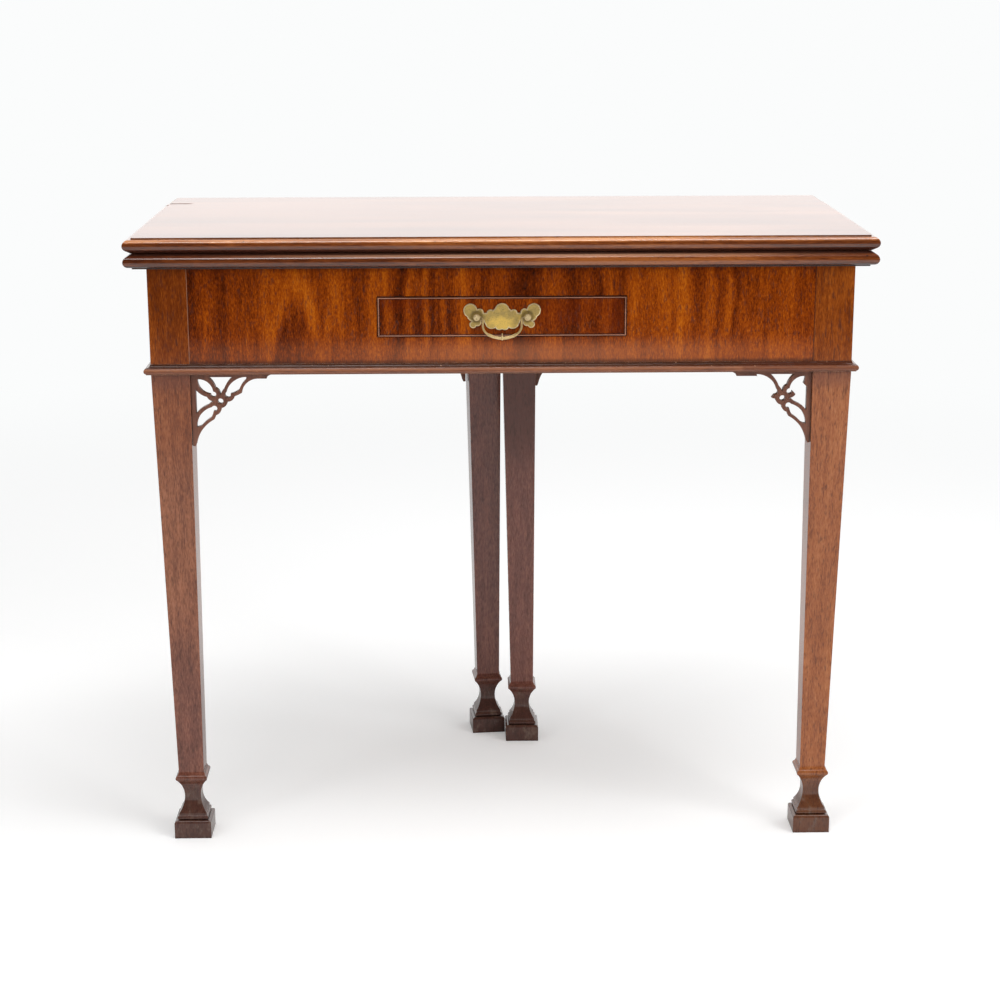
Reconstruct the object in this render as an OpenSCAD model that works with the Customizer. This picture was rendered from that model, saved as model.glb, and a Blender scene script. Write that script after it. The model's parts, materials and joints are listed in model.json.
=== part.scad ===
// Fold-over tea table: two stacked leaves on a frieze with one drawer, two front legs, and two rear legs on
// swinging gates that close side by side at the middle of the back. Millimetres, front towards -Y, +Z up,
// origin on the floor under the middle of the closed table.

/* [Top] */
// Width of the closed top over its mouldings
top_w = 847; // [700:1:1000]
// Depth of one leaf, from its back edge to the nose of its front moulding
leaf_d = 410; // [360:1:480]
// Height of the closed table
table_h = 730; // [680:1:800]
// Thickness of one leaf
leaf_t = 17.4; // [15:0.1:22]
// Gap between the two closed leaves
leaf_gap = 0.3; // [0.2:0.1:1]
// How far the rounded edge stands out past the flat of the leaf
nose_out = 9; // [8:0.5:12]
// Radius of the rounded edge
nose_r = 6.5; // [5:0.1:7]
// Height of the square step beside the rounded edge
edge_step = 1.9; // [1:0.1:3]
// Slope of the rounded edges towards each other between the leaves
nose_slope = 31; // [25:1:45]
// How far the top stands out past the frame at the front and the sides
overhang = 23; // [18:0.5:32]
// How far the top stands out past the closed gates at the back
back_overhang = 25; // [15:0.5:35]

/* [Frame] */
// Height of the rails
rail_h = 122; // [110:1:140]
// Thickness of the front and side rails
rail_t = 20; // [18:0.5:24]
// Thickness of the rail in front of the gates
inner_rail_t = 18; // [14:0.5:24]
// Depth of the grooves that hold the inner rail in the side rails
housing = 6; // [3:0.5:9]
// Thickness of the rail tenons
tenon_t = 8; // [6:0.5:10]
// Length of the rail tenons
tenon_l = 18; // [12:0.5:19]
// Distance from a tenon to the upper and lower edge of its rail
tenon_shoulder = 14; // [10:0.5:25]

/* [Lower moulding] */
// Radius of the round of the moulding
astragal_r = 3.7; // [3:0.1:5]
// How far the moulding hangs below the rails
mould_drop = 0.4; // [0.2:0.1:4]
// Height of the small step below the round
mould_step = 0.6; // [0.5:0.1:3]
// Height of the hollow above the round
mould_hollow = 3.6; // [2.5:0.1:5]

/* [Legs] */
// Width of the square leg at the rails
leg_s = 44; // [40:0.5:50]
// Width of the tapered leg just above its collar
ankle_s = 30; // [26:0.2:34]
// How far the front feet stand inside the corners of the frame
leg_lean = 3.5; // [0:0.5:5]
// Height of the whole foot with its collar
foot_h = 83; // [76:1:92]
// Width of the foot block
block_s = 44; // [40:0.5:48]
// Height of the foot block
block_h = 18.6; // [15:0.2:24]
// Radius of the rounded edge on the block
block_round = 3.4; // [2:0.2:5]
// Radius of the bead above the block
foot_bead_r = 2.9; // [2:0.1:4]
// Width of the step above the bead
foot_step_s = 33; // [30:0.5:36]
// Height of the step above the bead
foot_step_h = 2.4; // [1.5:0.1:4]
// Width of the neck at its narrowest
neck_s = 19.2; // [16:0.2:24]
// Width over the round of the collar
collar_s = 37.6; // [34:0.2:42]
// Radius of the round of the collar
collar_r = 4; // [3:0.1:5]
// Height of the slope between the collar and the leg
collar_slope = 3.4; // [2:0.2:5]

/* [Brackets] */
// Length of each bracket along its rail
bracket_l = 91; // [80:1:105]
// Length of each bracket down its leg
bracket_drop = 86; // [78:0.5:98]
// Thickness of the brackets
bracket_t = 8; // [6:0.5:12]
// Width of the strips where they meet the tracery
strip_inner_w = 5.2; // [4:0.2:6]
// Width of the free ends of the strips
strip_w = 7.2; // [6.2:0.2:9]
// Where the wide free ends of the strips begin
strip_wide_at = 60; // [50:1:64]
// Radius of the hollow cut at the free ends of the strips
strip_end_r = 5.4; // [3:0.2:6.5]
// Width of the bars of the tracery
bar_w = 4.6; // [3:0.1:5.5]
// Distance of the boss from the rail and from the leg
boss_at = 33.3; // [31:0.1:36]
// Radius of the boss
boss_r = 8; // [6.5:0.1:9.5]
// Radius of the hole in the boss
boss_hole_r = 3.2; // [2:0.1:4]
// Radius of the small round at the inner end of a petal
lobe_r = 3.3; // [2.4:0.1:3.8]
// Distance from the boss to the small rounds
lobe_at = 11.3; // [10.5:0.1:12.5]
// Length of the opening of the corner petal
petal_l = 25; // [22:0.5:28]
// Width of the opening of the corner petal
petal_w = 11.6; // [8:0.2:13]
// Length of the openings of the two side petals
side_petal_l = 31.6; // [28:0.2:34]
// Width of the openings of the two side petals
side_petal_w = 11.6; // [8:0.2:13]
// Distance from the boss to the openings of the side petals
side_petal_at = 9.8; // [9:0.1:11.5]
// How far the side petals lie towards the corner
side_petal_off = 1.8; // [0:0.1:3]
// Angle of the side petals to the rail and to the leg
side_turn = 40.3; // [36:0.1:48]
// Width of the outer bars where they sweep into the strips
sweep_bar_w = 3.5; // [2.6:0.1:4.5]
// How far the sweeps reach out from the strips
sweep_reach = 24; // [20:0.5:28]
// Radius of the sweep below the rail
rail_sweep_r = 19.3; // [15:0.1:24]
// Where this sweep touches its strip
rail_sweep_at = 77; // [70:0.5:80]
// Radius of the sweep beside the leg
leg_sweep_r = 41.6; // [30:0.2:50]
// Where this sweep would be nearest to the leg
leg_sweep_at = 91.3; // [80:0.1:100]
// Width that would be left of the strip there
leg_sweep_w = 3.4; // [2.6:0.1:5]
// How far the brackets stand behind the faces of the legs
bracket_back = 6; // [3:0.5:12]

/* [Gates] */
// Thickness of the swinging rails
fly_t = 25; // [20:0.5:28]
// Distance from the right gate's pin to its side rail
pin_from_side = 30.5; // [27:0.5:45]
// Angle that the left gate stands open
gate_ajar = 5.8; // [0:0.1:10]
// How far the feet of the gate legs stand to the right of their tops
gate_lean = 4.5; // [-8:0.5:8]
// Where the two gates meet, to the right of the middle of the table
meet_x = 5; // [-8:0.5:8]
// Gap between the legs of the two closed gates
gate_gap = 2; // [1.8:0.1:5]
// Gap between the gates and the top above them, and between their legs and the inner rail
gate_clear = 0.5; // [0.4:0.1:2]
// Number of fingers in a wooden hinge
fingers = 5; // [3:2:7]
// Gap between the fingers, and round their ends
finger_gap = 0.5; // [0.3:0.1:1]
// Radius of the gate pins
gate_pin_r = 3; // [2.5:0.1:4]
// Radial running gap of a pin in its hole
pin_fit = 0.05; // [0.02:0.01:0.09]
// Length of the tenons of the swinging rails
fly_tenon_l = 28; // [20:1:34]
// Width of the solid part of the hinge blocks in front of the swinging rails
block_post_w = 13; // [8:0.5:14]

/* [Drawer] */
// Width of the drawer front over its beads
drawer_w = 283; // [240:1:320]
// Height of the drawer front over its beads
drawer_h = 45.6; // [42:0.2:55]
// Height of the drawer above the lower edge of the rails
drawer_up = 41.6; // [36:0.2:46]
// Gap round the drawer in the front rail
drawer_gap = 0.6; // [0.4:0.1:1.5]
// Gap between the closed drawer and the rail behind it, which stops it
stop_gap = 0.3; // [0.2:0.1:2]
// Thickness of the drawer front
front_t = 18; // [15:0.5:20]
// Thickness of the drawer sides and back
side_t = 8; // [6:0.5:10]
// How far the drawer sides stop below the top of the front
side_drop = 4; // [2:0.5:8]
// Thickness of the drawer bottom
bottom_t = 5; // [4:0.5:7]
// Height of the drawer bottom above the lower edge of the sides
bottom_up = 6; // [4:0.5:8]
// Depth of the grooves that hold the drawer bottom
groove = 4; // [2:0.5:5]
// Length of the dovetails in the drawer front
tail_l = 12; // [8:0.5:14]
// Width of a dovetail at its root
tail_root = 9; // [6:0.5:11]
// How much wider a dovetail is at its end
tail_flare = 3.2; // [1:0.2:5]
// Thickness of the beads round the drawer front
bead_t = 2.4; // [1.6:0.1:3.5]
// Depth of the beads into the drawer front
bead_in = 6; // [4:0.5:9]
// How far the beads stand out of the drawer front
bead_out = 1.8; // [1.3:0.1:3]

/* [Drawer runners] */
// Width of the runners
runner_w = 36; // [30:1:44]
// Height of the runners
runner_h = 20; // [14:1:26]
// How far the runners reach in under the drawer
runner_in = 22; // [15:1:26]
// Gap between the drawer and what it runs on
run_gap = 0.3; // [0.2:0.1:0.8]
// Gap between the drawer and the guides beside it
guide_gap = 0.5; // [0.3:0.1:1.5]
// Width of the guides
guide_w = 12; // [8:1:12]
// Height of the guides
guide_h = 20; // [12:1:30]
// Width of the kickers above the drawer
kicker_w = 24; // [18:1:30]
// Height of the kickers
kicker_h = 22; // [16:1:30]
// Gap between the drawer sides and the kickers
kicker_gap = 1; // [0.4:0.1:2]

/* [Glue blocks and screws] */
// Width and height of the glue blocks
glue_s = 25; // [18:1:32]
// Length of the glue blocks
glue_l = 60; // [40:1:80]
// Radius of the screws that hold the top
top_screw_r = 2; // [1.5:0.1:2.8]
// Radius of the heads of these screws
top_head_r = 4; // [3.5:0.1:5]
// How far these screws reach into the lower leaf
top_screw_in = 10; // [6:0.5:12]
// Gap of a screw in its hole
screw_fit = 0.1; // [0.05:0.01:0.2]

/* [Leaf hinges] */
// Length of the brass straps
strap_l = 50; // [40:1:60]
// Height of the brass straps
strap_h = 11; // [9:0.5:13]
// Thickness of the brass straps
strap_t = 3; // [2.4:0.1:4]
// How far the seat of a strap stands out past the flat of the leaf
seat_out = 3; // [1:0.5:4]
// Radius of the eyes of the straps
eye_r = 5; // [4:0.5:6.5]
// Gap between the parts of a leaf hinge
eye_gap = 0.3; // [0.2:0.05:0.4]
// Radius of the leaf hinge pins
leaf_pin_r = 1.5; // [1:0.1:2]
// Radius of the heads of these pins
leaf_pin_head_r = 2.6; // [2.2:0.1:3.5]
// Height of the heads of these pins
leaf_pin_head_h = 0.8; // [0.5:0.1:1.2]
// Number of screws in each strap
strap_screws = 3; // [2:1:4]
// Radius of the strap screws
strap_screw_r = 1.3; // [1:0.1:1.8]
// Length of the strap screws
strap_screw_l = 16; // [10:1:25]

/* [Handle] */
// Distance between the handle's posts
post_gap = 58; // [50:1:66]
// Thickness of the back plate
plate_t = 1.6; // [1.2:0.1:2.4]
// Radius of the middle lobe of the back plate
plate_top_r = 8.4; // [7:0.2:10]
// Radius of the middle of the back plate
plate_mid_r = 13.5; // [12:0.1:14.5]
// Height of the wings above the posts
wing_up = 7; // [5.5:0.1:8]
// Depth of the tabs below the posts
tab_down = 9; // [8:0.1:10]
// Height of the middle lobe above the posts
plate_top_up = 7; // [6:0.2:8]
// Radius of the wings of the back plate
wing_r = 8; // [7:0.2:9]
// Radius of the tabs below the wings
tab_r = 4.2; // [3:0.1:5]
// Distance of the bail's pivots from the back plate
post_out = 5.6; // [5:0.2:8]
// Radius of the turned heads of the posts
post_head_r = 3.8; // [3:0.1:4.6]
// Length of these heads from front to back
post_head_l = 5.8; // [5:0.1:7]
// Chamfer on both ends of these heads
post_chamfer = 1.2; // [0.6:0.1:1.3]
// Radius of the posts behind their heads
post_r = 1.8; // [1.4:0.1:2.2]
// Width of the nuts inside the drawer
nut_s = 8; // [6:0.5:10]
// Thickness of the nuts
nut_t = 2.6; // [2:0.2:4]
// Distance between the two arms of the bail
bail_w = 44; // [38:0.5:46]
// How far the bail hangs below its pivots
bail_drop = 25.6; // [20:0.2:27]
// Radius of the bail's rod at its arms
bail_rod_r = 1.2; // [1:0.1:1.6]
// Radius of the bail's rod at its middle
bail_mid_r = 1.8; // [1.75:0.05:2.2]
// Radius of the rounded corners of the bail
bail_corner_r = 12; // [8:0.5:14]
// Radius of the bends between the arms and the pivots of the bail
bail_elbow_r = 2.4; // [1.6:0.1:3]
// Radius of the bail's pivots
bail_pin_r = 1.1; // [0.9:0.1:1.3]
// Radius of the collar at the middle of the bail
knop_r = 2.5; // [2.4:0.1:3]
// Length of the collar along the bail
knop_l = 2; // [1.4:0.1:5]
// Radius of the small spike on the collar
spike_r = 0.8; // [0.6:0.1:1]
// Height of the spike above the middle of the rod
spike_h = 5.6; // [3.4:0.1:6]
// Running gap round the bail's pivots and beyond their ends
bail_fit = 0.1; // [0.05:0.01:0.15]

/* [Hidden] */
$fn = 48;
e = 0.5;
sides = [-1, 1];

frame_w = top_w - 2 * overhang;
frame_d = leaf_d - overhang - back_overhang;
rail_top = table_h - 2 * leaf_t - leaf_gap;
rail_bot = rail_top - rail_h;

// The closed back of the frame lies frame_d behind its front; the gate pins lie half a swinging rail in front
// of it, and the left foot stands out behind it as far as its gate is ajar.
pin_in = fly_t / 2;
side_in = frame_w / 2 - rail_t;
gate_r = side_in - pin_from_side - meet_x - (gate_gap + leg_s) / 2;
ajar_reach = gate_r * sin(gate_ajar) - (leg_s - fly_t) / 2 * cos(gate_ajar)
    + block_s / 2 * (cos(gate_ajar) + sin(gate_ajar)) - pin_in;
hinge_reach = back_overhang + leaf_gap / 2 + eye_r;
back_reach = max(ajar_reach, hinge_reach);
front_y = -(frame_d + back_reach - overhang) / 2;
back_y = front_y + frame_d;
leaf_back_y = back_y + back_overhang;
pin_y = back_y - pin_in;
inner_rail_back = back_y - leg_s - gate_clear;
inner_rail_front = inner_rail_back - inner_rail_t;
fly_h = rail_h - gate_clear;
pin_x = [meet_x - gate_gap / 2 - leg_s / 2 - gate_r, meet_x + gate_gap / 2 + leg_s / 2 + gate_r];

// Rounded edge of the leaves, and the place of the leaf hinges
nose_mid = (leaf_t - edge_step) / 2;
flat_half = top_w / 2 - nose_out;
seat_x = flat_half + seat_out;
joint_z = rail_top + leaf_t + leaf_gap / 2;
hinge_y = leaf_back_y + leaf_gap / 2;
strap_z = leaf_gap / 2 + nose_mid;
lap_x = seat_x + strap_t / 2;

// Drawer
drawer_l = inner_rail_front - front_y - stop_gap;
drawer_z = rail_bot + drawer_up;
drawer_side_h = drawer_h - side_drop;
handle_z = drawer_z + drawer_h / 2;
runner_top = drawer_z - run_gap;
bail_y = front_y - plate_t - post_out;
bail_bottom_r = bail_corner_r + 2 * (bail_w / 2 - bail_corner_r);
bail_arm = bail_drop - bail_mid_r - bail_bottom_r + (bail_bottom_r - bail_corner_r) * sin(60);

mahogany = "#6b3420";
figured = "#8a431c";
pine = "#c99b62";
brass = "#b8974a";
iron = "#5a5650";

// Extrudes an outline drawn in X and Z from y0 to y1
module along_y(y0, y1) {
    translate([0, y1, 0])
        rotate([90, 0, 0])
            linear_extrude(y1 - y0)
                children();
}

// Extrudes an outline drawn in Y and Z from x0 to x1
module along_x(x0, x1) {
    translate([x0, 0, 0])
        rotate([90, 0, 90])
            linear_extrude(x1 - x0)
                children();
}

module box(low, high) {
    translate(low)
        cube(high - low);
}

// Mirrors its children to the left side where side is -1
module on_side(side) {
    mirror([side < 0 ? 1 : 0, 0, 0])
        children();
}

// Leaves

// One rounded edge of a lower leaf, pointing to +X from the end of the flat; z = 0 is the underside
module leaf_nose() {
    middle = [nose_out - nose_r, edge_step + nose_r];
    touch = middle + nose_r * [sin(nose_slope), cos(nose_slope)];
    translate(middle)
        circle(nose_r);
    polygon([[-e, edge_step], [middle[0], edge_step], middle, touch,
        [touch[0] - (leaf_t - touch[1]) / tan(nose_slope), leaf_t], [-e, leaf_t]]);
}

module leaf_body() {
    intersection() {
        along_y(leaf_back_y - leaf_d, leaf_back_y) {
            translate([-flat_half, 0])
                square([2 * flat_half, leaf_t]);
            for (side = sides)
                mirror([side < 0 ? 1 : 0, 0])
                    translate([flat_half, 0])
                        leaf_nose();
        }
        along_x(-top_w / 2, top_w / 2) {
            translate([leaf_back_y - leaf_d + nose_out, 0])
                square([leaf_d - nose_out, leaf_t]);
            translate([leaf_back_y - leaf_d + nose_out, 0])
                mirror([1, 0])
                    leaf_nose();
        }
    }
}

// The edge is cut flat at the back for the hinge straps, and drilled for their screws
module leaf_cuts() {
    for (side = sides)
        on_side(side) {
            box([seat_x, leaf_back_y - strap_l, -e], [top_w / 2 + e, leaf_back_y + e, leaf_t + e]);
            translate([0, 0, leaf_t - nose_mid])
                strap_screw_bodies(screw_fit);
        }
}

function strap_screw_y(i) = leaf_back_y - strap_l + (i + 0.5) * (strap_l - 2 * eye_r) / strap_screws;

module fixed_leaf() {
    color(mahogany)
        difference() {
            translate([0, 0, rail_top])
                difference() {
                    leaf_body();
                    leaf_cuts();
                }
            top_screw_bodies(screw_fit);
        }
}

module folding_leaf() {
    color(mahogany)
        translate([0, 0, table_h])
            mirror([0, 0, 1])
                difference() {
                    leaf_body();
                    leaf_cuts();
                }
}

// Leaf hinges

// Strap in Y and Z about its pin, lying in front of the pin and below the joint of the leaves
module strap_plate() {
    translate([-strap_l - leaf_gap / 2, -strap_z - strap_h / 2])
        square([strap_l, strap_h]);
}

module strap(folding) {
    own_x0 = folding ? lap_x + eye_gap / 2 : seat_x + eye_gap;
    own_x1 = folding ? seat_x + strap_t : lap_x - eye_gap / 2;
    other_x0 = folding ? seat_x - e : lap_x - eye_gap / 2;
    other_x1 = folding ? lap_x + eye_gap / 2 : seat_x + strap_t + e;
    difference() {
        translate([0, hinge_y, joint_z])
            mirror([0, 0, folding ? 1 : 0])
                difference() {
                    union() {
                        along_x(seat_x, seat_x + strap_t)
                            strap_plate();
                        along_x(own_x0, own_x1)
                            circle(eye_r);
                    }
                    along_x(other_x0, other_x1)
                        circle(eye_r + eye_gap);
                    along_x(seat_x - e, seat_x + strap_t + e)
                        circle(leaf_pin_r + pin_fit);
                }
        translate([0, 0, joint_z + (folding ? 1 : -1) * strap_z])
            strap_screw_bodies(screw_fit);
    }
}

module strap_pair(side, folding) {
    color(brass)
        on_side(side)
            strap(folding);
}

module leaf_pin(side) {
    color(brass)
        on_side(side)
            translate([seat_x + eye_gap, hinge_y, joint_z])
                rotate([0, 90, 0]) {
                    cylinder(h = strap_t - eye_gap + pin_fit + leaf_pin_head_h, r = leaf_pin_r);
                    translate([0, 0, strap_t - eye_gap + pin_fit])
                        cylinder(h = leaf_pin_head_h, r = leaf_pin_head_r);
                }
}

// Screws with countersunk heads, flush with the strap; grow widens them into the holes that hold them
module strap_screw_bodies(grow) {
    for (i = [0 : strap_screws - 1])
        translate([seat_x + strap_t, strap_screw_y(i), 0])
            rotate([0, -90, 0]) {
                cylinder(h = strap_screw_l, r = strap_screw_r + grow);
                cylinder(h = strap_screw_r, r1 = 2 * strap_screw_r + grow, r2 = strap_screw_r + grow);
            }
}

module strap_screws(folding) {
    color(brass)
        for (side = sides)
            on_side(side)
                translate([0, 0, joint_z + (folding ? 1 : -1) * strap_z])
                    strap_screw_bodies(0);
}

// Legs

// Half of the foot's outline, from the block up to the collar; the same outline shapes all four faces
module foot_half() {
    bead_z = block_h + block_round + foot_bead_r;
    step_z = bead_z + foot_bead_r;
    neck_z0 = step_z + foot_step_h;
    collar_z = foot_h - collar_slope - collar_r;
    neck_z1 = collar_z - collar_r;
    neck_top_s = collar_s - 1.1 * collar_r;
    square([block_s / 2, block_h]);
    translate([0, block_h - e])
        square([block_s / 2 - block_round, block_round + e]);
    translate([block_s / 2 - block_round, block_h])
        circle(block_round);
    translate([0, bead_z - foot_bead_r - e])
        square([foot_step_s / 2, 2 * foot_bead_r + foot_step_h + e]);
    translate([foot_step_s / 2 - foot_bead_r / 3, bead_z])
        circle(foot_bead_r);
    neck(neck_z0, neck_z1, foot_step_s / 2, neck_top_s / 2);
    translate([0, neck_z1 - e])
        square([collar_s / 2 - collar_r, 2 * collar_r + e]);
    translate([collar_s / 2 - collar_r, collar_z])
        circle(collar_r);
    polygon([[0, collar_z], [collar_s / 2 - 0.6, collar_z], [ankle_s / 2, foot_h], [0, foot_h]]);
}

// Hollow neck: a round hollow that reaches half widths a and b at its lower and upper end
module neck(z0, z1, a, b) {
    h = (z1 - z0) / 2;
    d = (a + b) / 2 - neck_s / 2;
    r = (h * h + d * d) / (2 * d);
    difference() {
        polygon([[0, z0 - e], [a, z0 - e], [a, z0], [b, z1], [b, z1 + e], [0, z1 + e]]);
        translate([neck_s / 2 + r, (z0 + z1) / 2])
            circle(r, $fn = 96);
    }
}

module foot_outline() {
    foot_half();
    mirror([1, 0])
        foot_half();
}

// A leg about the middle of its square top; its foot stands off by lean_x and lean_y
module leg(top_z, lean_x, lean_y) {
    a = leg_s / 2;
    b = ankle_s / 2;
    taper_z = rail_bot - mould_drop;
    box([-a, -a, taper_z - e], [a, a, top_z]);
    intersection() {
        along_y(-leg_s, leg_s)
            polygon([[lean_x - b, foot_h - e], [lean_x + b, foot_h - e], [a, taper_z], [-a, taper_z]]);
        along_x(-leg_s, leg_s)
            polygon([[lean_y - b, foot_h - e], [lean_y + b, foot_h - e], [a, taper_z], [-a, taper_z]]);
    }
    translate([lean_x, lean_y, 0])
        intersection() {
            along_y(-leg_s, leg_s)
                foot_outline();
            along_x(-leg_s, leg_s)
                foot_outline();
        }
}

module front_leg(side) {
    color(mahogany)
        on_side(side)
            difference() {
                translate([frame_w / 2 - leg_s / 2, front_y + leg_s / 2, 0])
                    leg(rail_top, -leg_lean, leg_lean);
                front_tenon();
                side_tenon();
            }
}

// Rails

module front_tenon() {
    box([frame_w / 2 - leg_s - e, front_y + (rail_t - tenon_t) / 2, rail_bot + tenon_shoulder],
        [frame_w / 2 - leg_s + tenon_l, front_y + (rail_t + tenon_t) / 2, rail_top - tenon_shoulder]);
}

module side_tenon() {
    box([frame_w / 2 - (rail_t + tenon_t) / 2, front_y + leg_s - tenon_l, rail_bot + tenon_shoulder],
        [frame_w / 2 - (rail_t - tenon_t) / 2, front_y + leg_s + e, rail_top - tenon_shoulder]);
}

module front_rail() {
    half = frame_w / 2 - leg_s;
    open = drawer_w / 2 + drawer_gap;
    color(figured) {
        difference() {
            box([-half, front_y, rail_bot], [half, front_y + rail_t, rail_top]);
            box([-open, front_y - e, drawer_z - drawer_gap],
                [open, front_y + rail_t + e, drawer_z + drawer_h + drawer_gap]);
        }
        for (side = sides)
            on_side(side)
                front_tenon();
    }
}

module inner_rail_body() {
    half = side_in + housing;
    box([-half, inner_rail_front, rail_bot], [half, inner_rail_back, rail_top]);
}

module inner_rail() {
    color(pine)
        inner_rail_body();
}

module side_rail(side) {
    color(figured)
        on_side(side)
            difference() {
                union() {
                    box([side_in, front_y + leg_s, rail_bot], [frame_w / 2, back_y, rail_top]);
                    side_tenon();
                }
                inner_rail_body();
            }
}

// Moulding along the bottom of the rails

// Section in Y and Z: it stands out to -Y from the face at y = 0, its foot at z = 0
module mould_section() {
    round_z = mould_step + astragal_r;
    hollow_z = round_z + astragal_r;
    translate([-astragal_r, 0])
        square([astragal_r, hollow_z]);
    translate([-astragal_r - 1.3, 0])
        square([astragal_r, mould_step]);
    translate([-astragal_r, round_z])
        circle(astragal_r);
    difference() {
        translate([-mould_hollow, hollow_z - e])
            square([mould_hollow, mould_hollow + e]);
        translate([-mould_hollow - 0.6, hollow_z + mould_hollow])
            circle(mould_hollow);
    }
}

mould_out = 2 * astragal_r;

module front_moulding() {
    half = frame_w / 2;
    color(mahogany)
        intersection() {
            translate([0, front_y, rail_bot - mould_drop])
                along_x(-half - mould_out, half + mould_out)
                    mould_section();
            linear_extrude(table_h)
                polygon([[-half - mould_out, front_y - mould_out], [half + mould_out, front_y - mould_out],
                    [half, front_y], [-half, front_y]]);
        }
}

module side_moulding(side) {
    half = frame_w / 2;
    color(mahogany)
        on_side(side)
            intersection() {
                translate([half, 0, rail_bot - mould_drop])
                    along_y(front_y - mould_out, back_y)
                        mirror([1, 0])
                            mould_section();
                linear_extrude(table_h)
                    polygon([[half, front_y], [half + mould_out, front_y - mould_out],
                        [half + mould_out, back_y], [half, back_y]]);
            }
}

// Pierced brackets

// A pointed oval of length l and width w, along +X from the origin
module pointed_oval(l, w) {
    r = (l * l + w * w) / (4 * w);
    translate([l / 2, 0])
        intersection_for (s = sides)
            translate([0, s * (r - w / 2)])
                circle(r, $fn = 96);
}

// One petal seen from the boss; grow widens its opening to the bars round it
module petal(turn, at, off, l, w, grow) {
    rotate(turn) {
        translate([at - grow, off])
            pointed_oval(l + 3 * grow, w + 2 * grow);
        translate([lobe_at, 0])
            circle(lobe_r + grow);
    }
}

module petals(grow) {
    translate([boss_at, boss_at]) {
        petal(225, lobe_at, 0, petal_l, petal_w, grow);
        petal(-side_turn, side_petal_at, -side_petal_off, side_petal_l, side_petal_w, grow);
        petal(90 + side_turn, side_petal_at, side_petal_off, side_petal_l, side_petal_w, grow);
    }
}

// The circles that the outer bars follow on their way into the strips
module sweeps(grow) {
    translate([rail_sweep_at, strip_w + rail_sweep_r])
        circle(rail_sweep_r + grow, $fn = 96);
    translate([leg_sweep_w + leg_sweep_r, leg_sweep_at])
        circle(leg_sweep_r + grow, $fn = 144);
}

// The two strips meet in the corner at the origin; the rail runs along +X and the leg along +Y
module bracket_outline() {
    difference() {
        union() {
            square([bracket_l, strip_inner_w]);
            square([strip_inner_w, bracket_drop]);
            translate([strip_wide_at, 0])
                square([bracket_l - strip_wide_at, strip_w]);
            translate([0, strip_wide_at])
                square([strip_w, bracket_drop - strip_wide_at]);
            intersection() {
                square(bracket_l);
                petals(bar_w);
            }
            translate([boss_at, boss_at])
                circle(boss_r);
            intersection() {
                sweeps(sweep_bar_w);
                union() {
                    square([rail_sweep_at, sweep_reach]);
                    square([sweep_reach, bracket_drop]);
                }
            }
        }
        sweeps(0);
    }
}

module bracket_openings() {
    difference() {
        petals(0);
        sweeps(sweep_bar_w);
        square([bracket_l, strip_inner_w]);
        square([strip_inner_w, bracket_l]);
    }
    translate([boss_at, boss_at])
        circle(boss_hole_r);
    translate([bracket_l + strip_end_r / 5, strip_w + strip_end_r / 5])
        circle(strip_end_r);
    translate([strip_w + strip_end_r / 5, bracket_drop + strip_end_r / 5])
        circle(strip_end_r);
}

// The right front bracket has lost the outer bar of one side petal and one bar of its corner petal
module lost_bars() {
    difference() {
        translate([boss_at, boss_at]) {
            rotate(-side_turn)
                translate([lobe_at - lobe_r / 2, 0])
                    square([side_petal_l + 2 * lobe_at, side_petal_l]);
            rotate(225)
                translate([lobe_at + lobe_r * 0.8, -petal_w])
                    square([petal_l * 0.6, petal_w]);
        }
        square([bracket_l, strip_w]);
    }
}

module bracket_2d(broken) {
    difference() {
        bracket_outline();
        bracket_openings();
        if (broken)
            lost_bars();
    }
}

// Bracket in X and Z below the rail, running from the leg towards +X
module bracket(broken) {
    translate([0, 0, rail_bot])
        along_y(0, bracket_t)
            mirror([0, 1])
                bracket_2d(broken);
}

module bracket_front(side) {
    color(mahogany)
        on_side(side)
            translate([frame_w / 2 - leg_s, front_y + bracket_back, 0])
                mirror([1, 0, 0])
                    bracket(side > 0);
}

module bracket_side(side) {
    color(mahogany)
        on_side(side)
            translate([frame_w / 2 - bracket_back, front_y + leg_s, 0])
                rotate([0, 0, 90])
                    bracket(false);
}

// Gates, each about its pin: the swinging rail runs along +X and the back of the table is +Y

module gate_place(side) {
    translate([pin_x[side < 0 ? 0 : 1], pin_y, 0])
        mirror([side < 0 ? 0 : 1, 0, 0])
            rotate([0, 0, side < 0 ? gate_ajar : 0])
                children();
}

// Half of a knuckle joint in X and Y: a board that starts at the pin, bevelled at the back so that it can
// turn through a right angle, and cut round for the fingers of the other half
module board_outline(l) {
    c = finger_gap;
    difference() {
        polygon([[c / 2, -pin_in], [l, -pin_in], [l, pin_in], [pin_in + c, pin_in], [c, 0], [c / 2, 0]]);
        circle(pin_in + c);
    }
}

module finger_outline() {
    c = finger_gap;
    circle(pin_in);
    polygon([[0, -pin_in], [pin_in + 2, -pin_in], [pin_in + 2, pin_in], [pin_in + c, pin_in], [c, 0], [0, 0]]);
}

module finger_stack(first, top) {
    pitch = fly_h / fingers;
    for (i = [first : 2 : fingers - 1]) {
        z0 = i == 0 ? 0 : i * pitch + finger_gap / 2;
        z1 = i == fingers - 1 ? top : (i + 1) * pitch - finger_gap / 2;
        translate([0, 0, rail_bot + z0])
            linear_extrude(z1 - z0)
                finger_outline();
    }
}

module gate_pin_hole() {
    translate([0, 0, rail_bot - e])
        cylinder(h = rail_h + 2 * e, r = gate_pin_r + pin_fit);
}

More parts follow.
